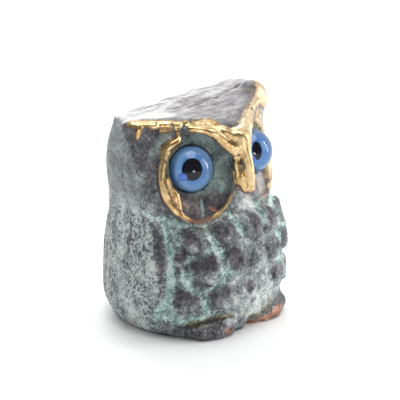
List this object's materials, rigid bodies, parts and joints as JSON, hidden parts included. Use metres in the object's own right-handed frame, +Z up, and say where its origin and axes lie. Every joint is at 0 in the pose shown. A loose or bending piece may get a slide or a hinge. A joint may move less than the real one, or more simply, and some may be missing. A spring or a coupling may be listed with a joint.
{
  "type": "owl statue",
  "caption": "Small cast bronze owl with a flat crested head, inset domed glass eyes and scaled breast, standing on its flat underside as a desk ornament.",
  "frame": {"origin": "centre of the flat underside, straight below the middle of the body", "axes": "+Z up, -Y the way the owl faces, +X towards its left side"},
  "size_m": [0.0396, 0.0368, 0.0467],
  "materials": {
    "patinated_bronze": "dark bronze with grey and verdigris patina, rubbed bright on the brow, beak and eye rings",
    "eye_glass": "polished clear glass over a blue iris and a black pupil"
  },
  "bodies": {
    "root": {"owl_casting": "patinated_bronze", "right_eye": "eye_glass", "left_eye": "eye_glass"}
  },
  "joints": []
}
